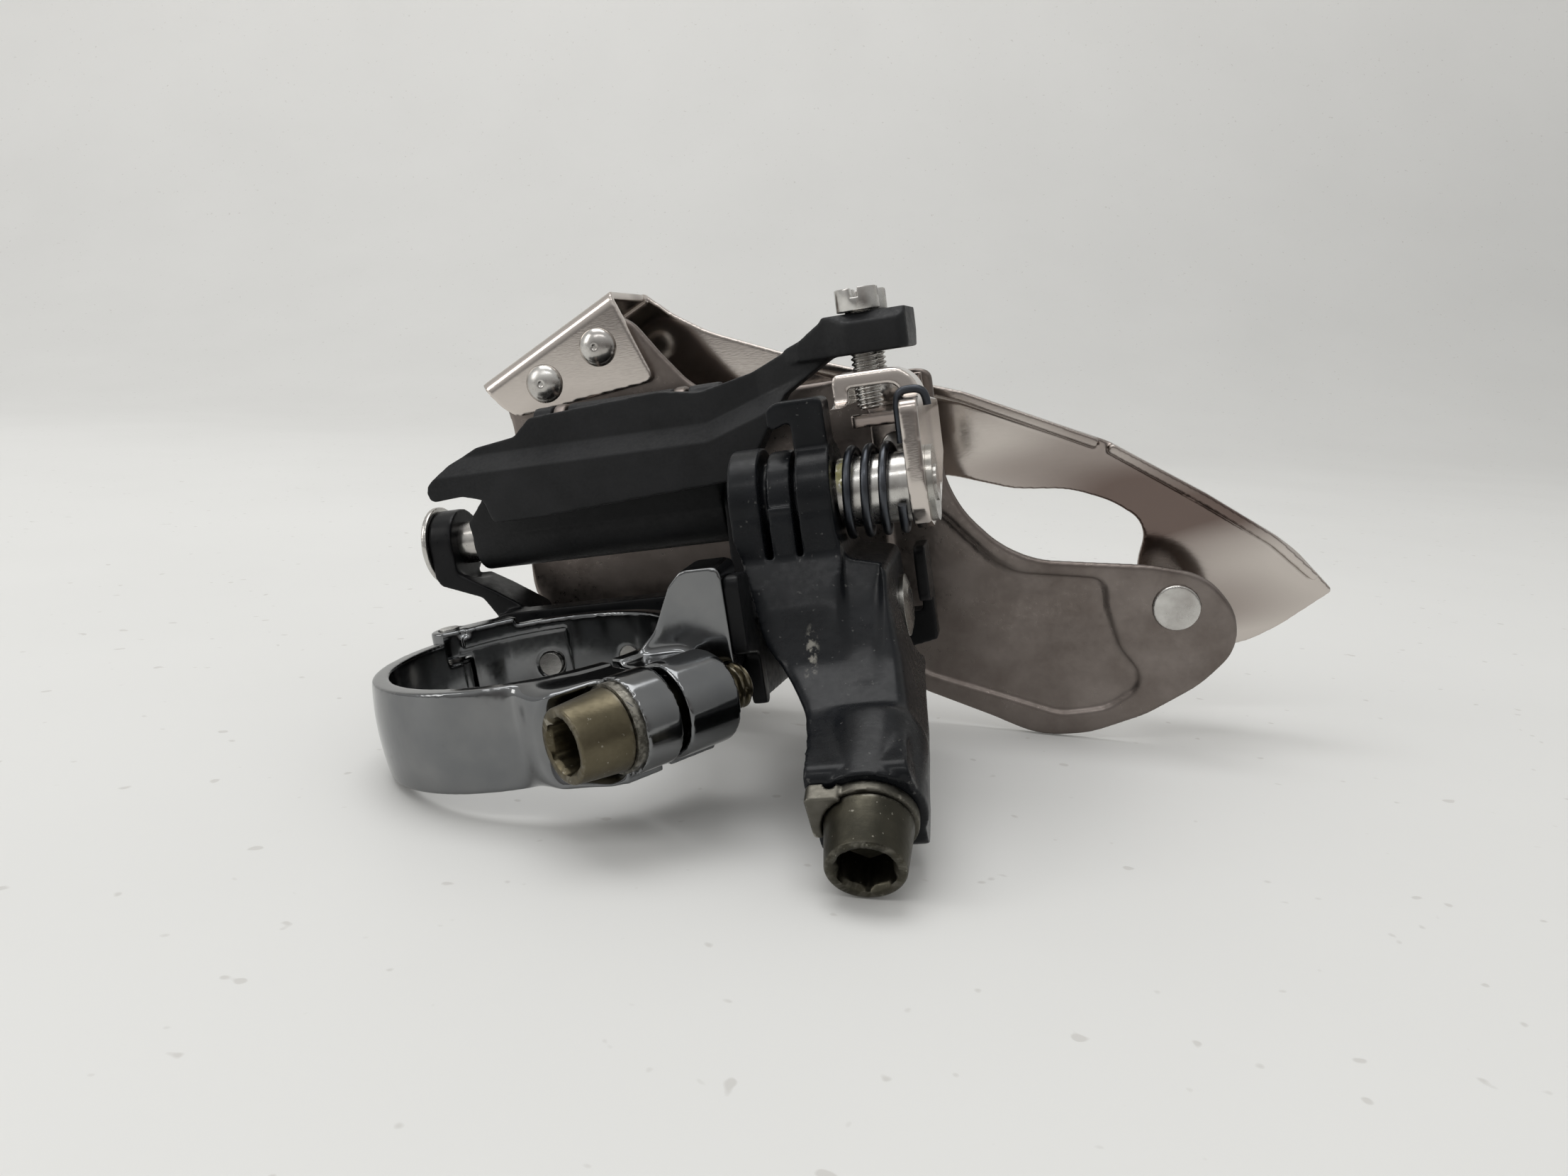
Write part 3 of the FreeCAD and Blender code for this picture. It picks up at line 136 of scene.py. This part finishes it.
def surface(name, colour, tint, metallic, rough, grain=900.0, stretch=(1, 1, 1), bump=0.02, scratches=0.0,
            wear=None, wear_amount=0.0, specks=None, marks=(), coat=0.0, edge=0.0, shine=0.5, broad=160.0,
            bands=(0.35, 0.68), run=(1, 1, 1), cloud_detail=5.0):
    """One worn surface: clouded colour and roughness, grain or scratches, bare edges and specks.

    Colour and tint are the cloud's two colours, and bands say where it turns from one to the other.
    Broad, run and cloud_detail shape the cloud; grain and stretch shape the fine noise of the relief.
    Each mark is a place, a reach, a colour and the noise level above which it shows.
    """
    material, nodes, links = new_material(name)
    shader = nodes["Principled BSDF"]
    shader.inputs["Metallic"].default_value = metallic
    shader.inputs["Coat Weight"].default_value = coat
    shader.inputs["Specular IOR Level"].default_value = shine
    shader.inputs["Coat Roughness"].default_value = 0.18
    cloud = texture(nodes, links, broad, cloud_detail, run)
    fine = texture(nodes, links, grain, 3.0, stretch)
    clouded = ramp(nodes, links, cloud, bands[0], bands[1], 0.0, 1.0)
    base = mix(nodes, links, clouded, colour, tint)
    roughness = ramp(nodes, links, fine, 0.3, 0.75, rough * 0.8, rough * 1.25)
    smudge = texture(nodes, links, 70.0, 6.0, (1, 1, 2.2), 0.6, (3, 1, 2))
    smear = ramp(nodes, links, smudge, 0.45, 0.7, 0.0, rough * 0.5)
    total = nodes.new("ShaderNodeMath")
    total.operation = "ADD"
    links.new(roughness, total.inputs[0])
    links.new(smear, total.inputs[1])
    links.new(total.outputs["Value"], shader.inputs["Roughness"])
    geometry = nodes.new("ShaderNodeNewGeometry")
    if wear is not None:
        ragged = texture(nodes, links, 700.0, 4.0, (1, 1, 1), 0.7, (5, 5, 1))
        edges = ramp(nodes, links, geometry.outputs["Pointiness"], 0.53, 0.60, 0.0, 1.0)
        rubbed = multiply(nodes, links, edges, ramp(nodes, links, ragged, 0.42, 0.58, 0.0, wear_amount))
        base = mix(nodes, links, rubbed, base, wear)
    if specks is not None:
        speckle = texture(nodes, links, 1700.0, 2.0, (1, 1, 1), 0.5, (9, 2, 4))
        dots = ramp(nodes, links, speckle, 0.70, 0.74, 0.0, 0.8)
        base = mix(nodes, links, dots, base, specks)
    for place, reach, shade, low in marks:
        ragged = texture(nodes, links, 900.0, 5.0, (1.0, 1.0, 0.6), 0.7, (2, 7, 3))
        torn = ramp(nodes, links, ragged, low, low + 0.1, 0.0, 0.8)
        mask = multiply(nodes, links, spot(nodes, links, place, reach), torn)
        base = mix(nodes, links, mask, base, shade)
        if metallic:
            links.new(ramp(nodes, links, mask, 0.0, 0.8, metallic, 0.0), shader.inputs["Metallic"])
    links.new(base, shader.inputs["Base Color"])
    height = fine
    if scratches:
        lines = texture(nodes, links, 260.0, 2.0, (1, 9, 9), 0.8, (1, 4, 8))
        height_mix = nodes.new("ShaderNodeMath")
        height_mix.operation = "MULTIPLY_ADD"
        height_mix.inputs[1].default_value = scratches
        links.new(lines, height_mix.inputs[0])
        links.new(fine, height_mix.inputs[2])
        height = height_mix.outputs["Value"]
    relief = add(nodes, "ShaderNodeBump", Strength=bump, Distance=0.0002)
    links.new(height, relief.inputs["Height"])
    if edge:
        rounded = add(nodes, "ShaderNodeBevel", Radius=edge)
        rounded.samples = 4
        links.new(rounded.outputs["Normal"], relief.inputs["Normal"])
    links.new(relief.outputs["Normal"], shader.inputs["Normal"])
    return material


# each mark: place, reach, colour, noise level
ARM_SCUFF = ((0.0332, -0.0035, 0.0028), (0.0010, 0.006, 0.0036), (0.26, 0.25, 0.22), 0.50)
GREASE = ((0.0374, 0.0042, 0.0208), (0.0013, 0.0050, 0.0026), (0.30, 0.27, 0.02), 0.40)
OLIVE = ((0.085, 0.073, 0.047), (0.135, 0.117, 0.078))
BLACKENED = ((0.040, 0.038, 0.030), (0.080, 0.074, 0.056))
MATERIALS = {
    "clamp_metal": surface(
        "gunmetal", (0.165, 0.17, 0.175), (0.205, 0.208, 0.21), 1.0, 0.12,
        grain=1500.0, bump=0.01, scratches=0.15),
    "arm_black": surface(
        "gloss black paint", (0.0045, 0.0052, 0.0064), (0.010, 0.011, 0.013), 0.0, 0.27,
        grain=1300.0, bump=0.07, scratches=0.5, wear=(0.10, 0.10, 0.10), wear_amount=0.2,
        specks=(0.07, 0.07, 0.068), marks=(ARM_SCUFF,), coat=0.04, shine=0.17),
    "base_black": surface(
        "satin black paint", (0.004, 0.0045, 0.005), (0.009, 0.009, 0.010), 0.0, 0.33,
        grain=1100.0, bump=0.08, scratches=0.3, wear=(0.08, 0.08, 0.08), wear_amount=0.2, shine=0.16),
    "link_black": surface(
        "matte black moulding", (0.0085, 0.009, 0.010), (0.015, 0.0155, 0.017), 0.0, 0.46,
        grain=2600.0, bump=0.14, scratches=0.25, wear=(0.07, 0.07, 0.07), wear_amount=0.2, shine=0.26),
    "bright_nickel": surface(
        "bright nickel", (0.60, 0.55, 0.51), (0.17, 0.13, 0.115), 1.0, 0.11,
        grain=1200.0, stretch=(1, 1, 4), bump=0.015, scratches=0.25, edge=0.00025,
        broad=75.0, bands=(0.46, 0.66), run=(0.28, 1.0, 1.0), cloud_detail=0.6),
    "satin_steel": surface(
        "satin steel", (0.235, 0.205, 0.188), (0.165, 0.140, 0.126), 1.0, 0.32,
        grain=1800.0, bump=0.05, scratches=0.4, edge=0.0003),
    "bolt_bronze": surface(
        "dull olive plating", *OLIVE, 1.0, 0.34,
        grain=1500.0, bump=0.12, scratches=0.3, wear=(0.50, 0.47, 0.40), wear_amount=0.8,
        specks=(0.30, 0.28, 0.23)),
    "worn_steel": surface(
        "dark worn steel", (0.075, 0.072, 0.060), (0.14, 0.132, 0.112), 1.0, 0.40,
        grain=1400.0, bump=0.15, scratches=0.3, wear=(0.42, 0.40, 0.35), wear_amount=0.7,
        specks=(0.24, 0.23, 0.20)),
    "silver": surface(
        "zinc plating", (0.62, 0.61, 0.585), (0.40, 0.38, 0.36), 1.0, 0.22,
        grain=1300.0, bump=0.05, scratches=0.3, marks=(GREASE,), edge=0.0001, broad=260.0),
    "spring_steel": surface(
        "blue-grey spring wire", (0.045, 0.050, 0.060), (0.085, 0.09, 0.10), 1.0, 0.30,
        grain=1500.0, bump=0.05, scratches=0.2),
}
BLACK_BOLT = surface(
    "blackened plating", *BLACKENED, 1.0, 0.34,
    grain=1500.0, bump=0.12, scratches=0.3, wear=(0.42, 0.40, 0.35), wear_amount=0.8,
    specks=(0.26, 0.25, 0.21))
BRIGHT_CLIP = surface(
    "bright worn steel", (0.50, 0.49, 0.46), (0.30, 0.285, 0.26), 1.0, 0.25,
    grain=1400.0, bump=0.08, scratches=0.3, edge=0.0001)
for node_name, node_object in NODES.items():
    if node_name in SLOT_OF:
        node_object.data.materials.clear()
        node_object.data.materials.append(MATERIALS[SLOT_OF[node_name]])
for node_name in ("arm_pivot_clip", "cage_pivot_clip"):
    NODES[node_name].data.materials[0] = BRIGHT_CLIP

# ------------------------------------------------------------------ pieces


def piece(name, mesh, slot, body, replaced=()):
    """An object on a body and in a material slot, standing for the CAD nodes it replaces."""
    thing = bpy.data.objects.new(name, mesh)
    bpy.context.scene.collection.objects.link(thing)
    thing.data.materials.clear()
    thing.data.materials.append(MATERIALS[slot])
    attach(thing, body)
    if replaced:
        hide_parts(*replaced)
    return thing


def evaluated(thing):
    """The mesh of an object with its modifiers applied."""
    graph = bpy.context.evaluated_depsgraph_get()
    graph.update()
    return bpy.data.meshes.new_from_object(thing.evaluated_get(graph))


def slope_fairing(mesh):
    """Leans the upper strip of the link's front wall back, above a ridge along its length."""
    front, back, right = 18.0, 22.2, 34.0
    ridge_height, ridge_start, ridge_rise = 25.3, 19.0, 0.32
    fade_length, slope, most = 8.0, 0.85, 1.9
    for vertex in mesh.vertices:
        x, y, z = vertex.co / MM
        ridge = ridge_height + max(0.0, x - ridge_start) * ridge_rise
        if x < right and front - 0.5 < y < back and z > ridge:
            fade = min(1.0, (right - x) / fade_length)
            share = (back - y) / (back - front)
            vertex.co.y += min(most, (z - ridge) * slope) * MM * share * fade


def soften(node, voxel, rounds, blend=None):
    """A part's own form with its edges and inner corners rounded, standing for the CAD node.

    Blend is a place, a reach and a number of rounds for more smoothing round that place.
    """
    source = NODES[node]
    work = bpy.data.objects.new(node + "_work", source.data.copy())
    work.matrix_world = source.matrix_world
    bpy.context.scene.collection.objects.link(work)
    remesh = work.modifiers.new("remesh", "REMESH")
    remesh.mode = "VOXEL"
    remesh.voxel_size = voxel
    remesh.use_smooth_shade = True
    smooth = work.modifiers.new("smooth", "SMOOTH")
    smooth.factor = 0.5
    smooth.iterations = rounds
    mesh = evaluated(work)
    mesh.transform(source.matrix_world)
    bpy.data.objects.remove(work)
    mesh.name = node + "_cast"
    if node == "outer_link":
        slope_fairing(mesh)
    for polygon in mesh.polygons:
        polygon.use_smooth = True
    cast = piece(node + "_cast", mesh, SLOT_OF[node], BODY_OF[node], (node,))
    if blend:
        centre, reach, again = blend
        group = cast.vertex_groups.new(name="blend")
        for vertex in mesh.vertices:
            apart = (vertex.co - Vector(centre)).length / reach
            if apart < 1.0:
                group.add([vertex.index], min(1.0, 2.5 * (1.0 - apart)), "REPLACE")
        local = cast.modifiers.new("blend", "SMOOTH")
        local.factor = 0.5
        local.iterations = again
        local.vertex_group = "blend"
    return cast


def line_of(node, direction):
    """Foot, direction and length of a turned CAD node along its axis."""
    way = Vector(direction).normalized()
    side = way.orthogonal().normalized()
    points = [vertex.co for vertex in NODES[node].data.vertices]
    spans = []
    for axis in (way, side, way.cross(side)):
        places = [point.dot(axis) for point in points]
        spans.append((min(places), max(places)))
    foot = way * spans[0][0] + side * (sum(spans[1]) / 2) + way.cross(side) * (sum(spans[2]) / 2)
    return foot, way, spans[0][1] - spans[0][0]


def turned_rings(rows, steps):
    """Rings of a turned form: radius, height and, for a socket, its number of flats."""
    points, faces, rings = [], [], []
    for radius, height, flats in rows:
        ring = []
        for i in range(steps):
            angle = 2 * math.pi * i / steps
            reach = radius
            if flats:
                half = math.pi / flats
                reach = min(radius / math.cos((angle + half) % (2 * half) - half), radius * 1.13)
            ring.append(len(points))
            points.append(Vector((reach * math.cos(angle), reach * math.sin(angle), height)))
        rings.append(ring)
    for low, high in zip(rings, rings[1:]):
        for i in range(steps):
            j = (i + 1) % steps
            faces.append((low[i], low[j], high[j], high[i]))
    return points, faces


def thread_rows(points, faces, crest, depth, pitch, length, chamfer, steps=48, per_turn=8):
    """A cut thread from height 0 up to a length, added to the points and faces."""
    start = len(points)
    rows = int(length / pitch * per_turn) + 1
    for k in range(rows + 1):
        height = length * k / rows
        for i in range(steps):
            angle = 2 * math.pi * i / steps
            phase = (height / pitch - i / steps) % 1.0
            valley = min(1.0, max(0.0, (abs(phase - 0.5) * 2 - 0.25) / 0.55))
            reach = min(crest - depth * valley, crest - chamfer + height)
            points.append(Vector((reach * math.cos(angle), reach * math.sin(angle), height)))
    for k in range(rows):
        for i in range(steps):
            j = (i + 1) % steps
            a = start + k * steps
            faces.append((a + i, a + j, a + steps + j, a + steps + i))
    faces.append(tuple(start + i for i in reversed(range(steps))))


def placed_mesh(name, points, faces, foot=None, way=None):
    """A closed, smooth mesh, stood on a foot along a way if these are given."""
    mesh = bpy.data.meshes.new(name)
    mesh.from_pydata(points, [], faces)
    if way is not None:
        side = way.orthogonal().normalized()
        basis = Matrix((side, way.cross(side), way)).transposed()
        mesh.transform(Matrix.Translation(foot) @ basis.to_4x4())
    work = bmesh.new()
    work.from_mesh(mesh)
    bmesh.ops.remove_doubles(work, verts=work.verts, dist=1e-7)
    bmesh.ops.recalc_face_normals(work, faces=work.faces)
    work.to_mesh(mesh)
    for polygon in mesh.polygons:
        polygon.use_smooth = True
    mesh.set_sharp_from_angle(angle=SHARP)
    return mesh


JOINT = {joint["name"]: joint for joint in frame["record"]["behaviour"]["joints"]}
SHARP = math.radians(38)
BOLT_RADIUS = 2.5 * MM
BOLT_HEAD_LENGTH = 5.5 * MM
BOLT_THREAD_DEPTH, BOLT_PITCH, BOLT_CHAMFER = 0.42 * MM, 0.8 * MM, 0.5 * MM
SCREW_RADIUS = 1.6 * MM
SCREW_HEAD_LENGTH = 2.6 * MM
SCREW_THREAD_DEPTH, SCREW_PITCH, SCREW_CHAMFER = 0.28 * MM, 0.6 * MM, 0.4 * MM
RIVET_HEAD_RADIUS = 2.35 * MM


def cone_bolt(node, joint, thread_length, turn):
    """A cone-head bolt with a worn hexagon socket and a cut thread."""
    foot, way, length = line_of(node, JOINT[joint]["axis"])
    base = length - BOLT_HEAD_LENGTH
    rows = [(2.5, 0.0, 0), (4.13, 0.0, 0), (4.25, 0.12, 0), (4.25, 0.55, 0), (4.2, 0.75, 0),
            (3.80, 5.28, 0), (3.72, 5.43, 0), (3.58, 5.5, 0), (3.02, 5.5, 0), (2.92, 5.45, 0), (2.58, 5.1, 6),
            (2.5, 4.9, 6), (2.5, 1.6, 6), (1.6, 1.35, 6), (0.02, 1.0, 0)]
    points, faces = turned_rings([(r * MM, base + h * MM, flats) for r, h, flats in rows], 96)
    spin = Matrix.Rotation(turn, 3, "Z")
    for point in points:
        point.rotate(spin)
        reach = math.hypot(point.x, point.y)
        if point.z > base + 4.6 * MM and reach < 3.1 * MM:
            dent = noise.noise(point * 1500.0) * 0.12 * MM
            point.x += dent * point.x / reach
            point.y += dent * point.y / reach
            point.z -= abs(noise.noise(point * 2100.0)) * 0.16 * MM
    threaded = min(thread_length, base)
    thread_rows(points, faces, BOLT_RADIUS, BOLT_THREAD_DEPTH, BOLT_PITCH, threaded, BOLT_CHAMFER)
    if thread_length < base:
        start = len(points)
        extra, sides = turned_rings([(BOLT_RADIUS, thread_length, 0), (BOLT_RADIUS, base, 0)], 48)
        points.extend(extra)
        faces.extend(tuple(start + k for k in face) for face in sides)
    mesh = placed_mesh(node + "_cut", points, faces, foot, way)
    return piece(node + "_cut", mesh, SLOT_OF[node], BODY_OF[node], (node,))


def limit_screw(node, joint):
    """The CAD screw's slotted head on a shank with a cut thread."""
    foot, way, length = line_of(node, JOINT[joint]["axis"])
    shank = length - SCREW_HEAD_LENGTH
    points, faces = [], []
    thread_rows(points, faces, SCREW_RADIUS, SCREW_THREAD_DEPTH, SCREW_PITCH, shank, SCREW_CHAMFER, 40)
    mesh = placed_mesh(node + "_cut", points, faces, foot, way)
    work = bmesh.new()
    work.from_mesh(NODES[node].data)
    below = [vertex for vertex in work.verts if (vertex.co - foot).dot(way) < shank - 0.1 * MM]
    bmesh.ops.delete(work, geom=below, context="VERTS")
    bmesh.ops.remove_doubles(work, verts=work.verts, dist=1e-6)
    rim = [edge for edge in work.edges if len(edge.link_faces) == 2 and edge.calc_face_angle(0) > 0.9]
    bmesh.ops.bevel(work, geom=rim, offset=0.14 * MM, segments=2, affect="EDGES", profile=0.6)
    for face in work.faces:
        face.smooth = True
    work.from_mesh(mesh)
    work.to_mesh(mesh)
    mesh.set_sharp_from_angle(angle=SHARP)
    return piece(node + "_cut", mesh, SLOT_OF[node], BODY_OF[node], (node,))


def wire(name, places, radius, slot, body):
    """A bent wire through a row of places in millimetres."""
    curve = bpy.data.curves.new(name, "CURVE")
    curve.dimensions = "3D"
    curve.bevel_depth = radius * MM
    curve.bevel_resolution = 4
    curve.use_fill_caps = True
    spline = curve.splines.new("NURBS")
    spline.points.add(len(places) - 1)
    for point, place in zip(spline.points, places):
        point.co = (*(Vector(place) * MM), 1.0)
    spline.order_u = 3
    spline.use_endpoint_u = True
    spline.resolution_u = 6
    work = bpy.data.objects.new(name + "_work", curve)
    bpy.context.scene.collection.objects.link(work)
    mesh = evaluated(work)
    bpy.data.objects.remove(work)
    mesh.name = name
    for polygon in mesh.polygons:
        polygon.use_smooth = True
    return piece(name, mesh, slot, body)


def dimpled_rivets(node):
    """Two domed rivet heads with a small centre dimple, and their flat tails."""
    low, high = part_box(node)
    points, faces = [], []
    rows = [(0.0, 0.16), (0.22, 0.17), (0.36, 0.05), (0.5, 0.0), (0.75, 0.02), (1.2, 0.14), (1.75, 0.37),
            (2.15, 0.66), (2.45, 1.02), (2.6, 1.38), (2.58, 1.5), (1.5, 1.5), (1.5, 3.9), (2.2, 3.9),
            (1.6, 4.4), (0.0, 4.4)]
    for x, z in ((low[0] + RIVET_HEAD_RADIUS, low[2] + RIVET_HEAD_RADIUS),
                 (high[0] - RIVET_HEAD_RADIUS, high[2] - RIVET_HEAD_RADIUS)):
        start = len(points)
        extra, sides = turned_rings([(max(r, 0.001) * MM, h * MM, 0) for r, h in rows], 48)
        points.extend(Vector((x + p.x, low[1] + p.z, z + p.y)) for p in extra)
        faces.extend(tuple(start + k for k in face) for face in sides)
    mesh = placed_mesh(node + "_domed", points, faces)
    return piece(node + "_domed", mesh, SLOT_OF[node], BODY_OF[node], (node,))


VOXEL = 0.0002
# node, share of the voxel size, rounds of smoothing, and for some a place to smooth more
SOFT = (
    ("inner_link", 1.0, 7, ((0.0385, -0.0055, -0.0015), 0.0135, 240)),
    ("clamp_band", 1.0, 14, ((0.0098, -0.0212, 0.0005), 0.0085, 500)),
    ("clamp_body", 1.0, 12, ((0.0205, -0.0095, 0.0055), 0.0055, 60)),
    ("outer_link", 1.0, 9, None),
    ("link_base", 1.0, 7, None),
    ("cage_ear", 0.8, 9, None),
    ("inner_cage_plate", 1.2, 7, None),
    ("outer_cage_plate", 1.0, 5, None),
    ("cable_plate", 0.8, 5, None),
    ("rear_pivot_cap", 0.8, 4, None),
    ("tail_rivet", 0.8, 5, None),
)
for node, share, rounds, blend in SOFT:
    soften(node, VOXEL * share, rounds, blend)
cone_bolt("clamp_bolt", "clamp_bolt_travel", 9.0 * MM, 0.35)
cone_bolt("cable_bolt", "cable_bolt_travel", 7.0 * MM, 0.1).data.materials[0] = BLACK_BOLT
limit_screw("low_limit_screw", "low_screw_travel")
limit_screw("high_limit_screw", "high_screw_travel")
dimpled_rivets("front_rivets")
SPRING_LEG = [(43.8, 7.5, 22.9), (43.85, 7.6, 25.0), (43.85, 7.4, 27.4), (44.3, 7.0, 28.5),
              (45.4, 6.9, 28.65), (46.5, 6.9, 28.55), (47.15, 6.9, 27.9), (47.2, 6.9, 26.7)]
wire("spring_leg", SPRING_LEG, 0.45, "spring_steel", "cage")

# ------------------------------------------------------------------ stage, light and camera

def resting_plane(nodes, normal, rounds=8):
    """The plane under the lowest places of three parts, found by tilting a first guess."""
    for _ in range(rounds):
        feet = [min((vertex.co for vertex in NODES[node].data.vertices), key=normal.dot) for node in nodes]
        normal = (feet[1] - feet[0]).cross(feet[2] - feet[0]).normalized()
        if normal.z < 0:
            normal = -normal
    return normal, feet[0]


normal, foot = resting_plane(("clamp_band", "cable_bolt", "inner_cage_plate"), Vector((0.181, 0.037, 0.983)))
forward = Vector((-0.22118, 0.95805, -0.18224))
ahead = (forward - normal * forward.dot(normal)).normalized()
across = ahead.cross(normal)
middle = Vector((0.02, 0.0, 0.0))
FLOOR_GAP = 0.00012
touch = middle - normal * (middle - foot).dot(normal) - normal * FLOOR_GAP
# the floor's section in metres: flat, then a quarter of a circle, then the wall
NEAR, ARC_START, ARC_RADIUS, WALL_TOP, HALF_WIDTH = -0.9, 0.55, 0.55, 2.4, 3.0
profile = [(NEAR, 0.0), (ARC_START, 0.0)]
profile += [(ARC_START + ARC_RADIUS * math.sin(a), ARC_RADIUS - ARC_RADIUS * math.cos(a))
            for a in (k * math.pi / 60 for k in range(1, 31))]
profile.append((ARC_START + ARC_RADIUS, WALL_TOP))
rows = [touch + ahead * out + normal * rise for out, rise in profile]
floor_mesh = bpy.data.meshes.new("floor")
floor_mesh.from_pydata([row + across * side for row in rows for side in (-HALF_WIDTH, HALF_WIDTH)], [],
                       [(2 * k, 2 * k + 1, 2 * k + 3, 2 * k + 2) for k in range(len(rows) - 1)])
for polygon in floor_mesh.polygons:
    polygon.use_smooth = True
floor = bpy.data.objects.new("floor", floor_mesh)
bpy.context.scene.collection.objects.link(floor)
floor_material, floor_nodes, floor_links = new_material("pale table")
floor_shader = floor_nodes["Principled BSDF"]
floor_shader.inputs["Roughness"].default_value = 0.5
floor_shader.inputs["Specular IOR Level"].default_value = 0.3
cloudy = ramp(floor_nodes, floor_links, texture(floor_nodes, floor_links, 9.0, 4.0), 0.3, 0.7, 0.0, 1.0)
paper = mix(floor_nodes, floor_links, cloudy, (0.735, 0.735, 0.72), (0.705, 0.705, 0.69))
crumbs = texture(floor_nodes, floor_links, 420.0, 1.0, (1, 1, 1), 0.4)
grit = ramp(floor_nodes, floor_links, crumbs, 0.74, 0.78, 0.0, 0.4)
dusty = mix(floor_nodes, floor_links, grit, paper, (0.42, 0.40, 0.37))
floor_links.new(dusty, floor_shader.inputs["Base Color"])
height = floor_nodes.new("ShaderNodeSeparateXYZ")
floor_links.new(floor_nodes.new("ShaderNodeNewGeometry").outputs["Position"], height.inputs["Vector"])
# painted light: the floor sheet glows by its own emission, faintly on the flat part and more strongly up the
# curved wall, rising with height to 0.45 m
floor_shader.inputs["Emission Color"].default_value = (1.0, 0.985, 0.95, 1.0)
painted_floor_glow = ramp(floor_nodes, floor_links, height.outputs["Z"], 0.0, 0.45, 0.02, 0.24)
floor_links.new(painted_floor_glow, floor_shader.inputs["Emission Strength"])
floor.data.materials.append(floor_material)

scene = bpy.context.scene
scene.view_settings.view_transform = "Standard"
world = bpy.data.worlds.new("studio")
scene.world = world
world.use_nodes = True
sky, wires = world.node_tree.nodes, world.node_tree.links
sky.clear()
direction = sky.new("ShaderNodeTexCoord")
parts = sky.new("ShaderNodeSeparateXYZ")
wires.new(direction.outputs["Generated"], parts.inputs["Vector"])
up = ramp(sky, wires, parts.outputs["Z"], -0.1, 0.6, 0.0, 1.0)
facing = sky.new("ShaderNodeVectorMath")
facing.operation = "DOT_PRODUCT"
facing.inputs[1].default_value = -forward
wires.new(direction.outputs["Generated"], facing.inputs[0])
front = ramp(sky, wires, facing.outputs["Value"], 0.25, 0.85, 0.0, 1.0)
haze = texture(sky, wires, 2.2, 2.0)
patches = ramp(sky, wires, haze, 0.45, 0.62, 0.0, 1.0)
dark = mix(sky, wires, patches, (0.055, 0.045, 0.042), (0.26, 0.22, 0.20))
wall = mix(sky, wires, front, (0.50, 0.50, 0.49), dark)
room = mix(sky, wires, up, wall, (0.85, 0.85, 0.84))
backdrop = sky.new("ShaderNodeBackground")
backdrop.inputs["Strength"].default_value = 0.75
wires.new(room, backdrop.inputs["Color"])
out = sky.new("ShaderNodeOutputWorld")
wires.new(backdrop.outputs["Background"], out.inputs["Surface"])


LAMP_TARGET = Vector((0.03, 0.0, 0.0))


def lamp(name, place, width, depth, watts, colour=(1, 1, 1)):
    """A rectangular area lamp turned to the object."""
    light = bpy.data.lights.new(name, "AREA")
    light.shape = "RECTANGLE"
    light.size = width
    light.size_y = depth
    light.energy = watts
    light.color = colour
    holder = bpy.data.objects.new(name, light)
    scene.collection.objects.link(holder)
    holder.location = place
    holder.rotation_mode = "QUATERNION"
    holder.rotation_quaternion = (LAMP_TARGET - Vector(place)).to_track_quat("-Z", "Y")


lamp("top", (0.0, 0.15, 0.9), 0.7, 0.5, 3.2)
lamp("left", (-0.6, -0.35, 0.55), 0.25, 0.45, 1.2, (1.0, 0.98, 0.95))
lamp("strip", (0.12, -0.55, 0.75), 0.75, 0.05, 0.9)

camera = bpy.data.objects.new("camera", bpy.data.cameras.new("camera"))
scene.collection.objects.link(camera)
right = Vector((0.96973, 0.19623, -0.14533))
upward = Vector((0.10348, 0.20886, 0.97245))
turn = Matrix((right, upward, -forward)).transposed()
camera.matrix_world = Matrix.Translation(Vector((0.05824, -0.12184, 0.03284))) @ turn.to_4x4()
camera.data.sensor_width = 36.0
camera.data.lens = 27.03
camera.data.clip_start = 0.005
camera.data.clip_end = 20.0
scene.camera = camera
